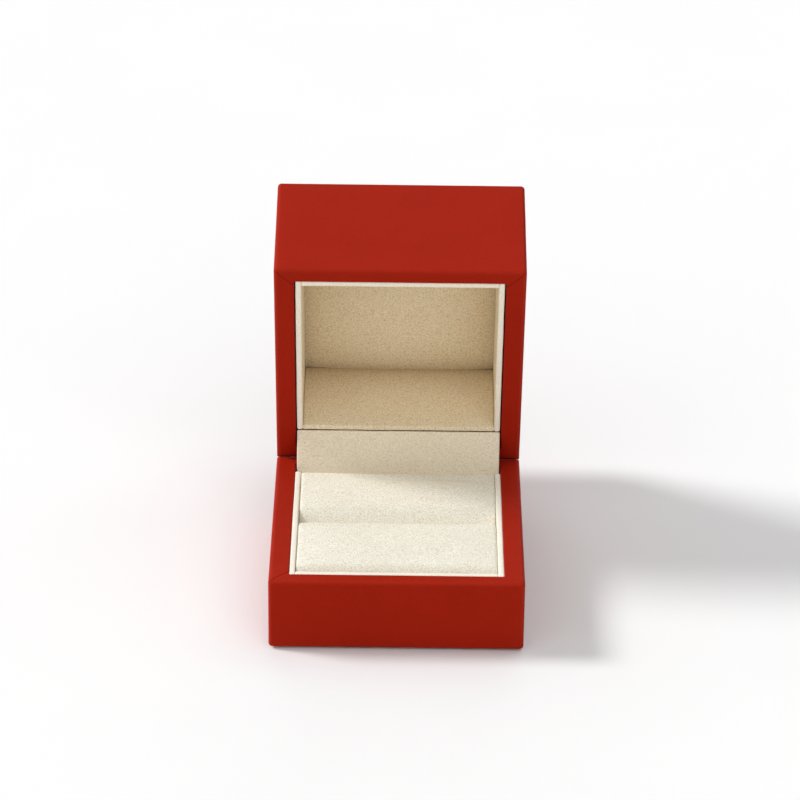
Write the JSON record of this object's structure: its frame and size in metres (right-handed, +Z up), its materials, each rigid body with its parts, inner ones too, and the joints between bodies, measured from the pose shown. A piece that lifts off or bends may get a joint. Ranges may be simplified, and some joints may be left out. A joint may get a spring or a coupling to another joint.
{
  "type": "jewelry gift box",
  "caption": "Hinged clamshell ring box: leatherette over board, suede-lined lid standing open, slotted ring pads in the base, snap hinge behind a folding cover.",
  "frame": {"origin": "centre of the base's underside, on the surface that the box stands on", "axes": "+X to the right seen from the front, +Y from the front of the box to the hinge, +Z up"},
  "size_m": [0.06, 0.0925, 0.0852],
  "materials": {
    "leatherette": "satin, fine grain",
    "suede_card": "suede over card",
    "suede_pad": "suede over foam",
    "foam": "open-cell foam",
    "fibreboard": "raw fibreboard",
    "grey_board": "grey board",
    "backing_sheet": "fine-grained backing paper",
    "hinge_steel": "bright plated",
    "spring_steel": "blued spring steel",
    "brass_fixings": "plain"
  },
  "bodies": {
    "base": {"base_bottom_sheet": "backing_sheet", "base_floor_board": "fibreboard", "base_front_board": "fibreboard", "base_rear_board": "fibreboard", "base_left_board": "fibreboard", "base_right_board": "fibreboard", "base_wrap": "leatherette", "base_lining_front": "suede_card", "base_lining_left": "suede_card", "base_lining_right": "suede_card", "cushion_board": "grey_board", "front_ring_pad": "suede_pad", "rear_ring_pad": "suede_pad", "cover_anchor": "grey_board", "hinge_base_leaf": "hinge_steel", "hinge_pin": "hinge_steel", "hinge_snap_spring": "spring_steel", "snap_spring_rivets": "brass_fixings", "base_leaf_screws": "brass_fixings"},
    "lid": {"lid_front_board": "fibreboard", "lid_rear_board": "fibreboard", "lid_left_board": "fibreboard", "lid_right_board": "fibreboard", "lid_roof_board": "fibreboard", "lid_wrap": "leatherette", "lid_lining_front": "suede_card", "lid_lining_rear": "suede_card", "lid_lining_left": "suede_card", "lid_lining_right": "suede_card", "lid_ceiling_panel": "suede_card", "lid_ceiling_foam": "foam", "lid_rear_spacer": "grey_board", "hinge_lid_leaf": "hinge_steel", "lid_leaf_screws": "brass_fixings"},
    "cover": {"hinge_cover": "suede_card"}
  },
  "joints": [
    {"name": "lid_hinge", "type": "hinge", "parent": "base", "child": "lid", "pos_m": [0, 0.0295, 0.0186], "axis": [1, 0, 0], "range_deg": [0, 75.2]},
    {"name": "cover_fold", "type": "hinge", "parent": "base", "child": "cover", "pos_m": [0, 0.0236, 0.0156], "axis": [1, 0, 0], "range_deg": [0, 21.2]}
  ],
  "couplings": [
    {"joint": "cover_fold", "follows": "lid_hinge", "ratio": 0.28114}
  ]
}
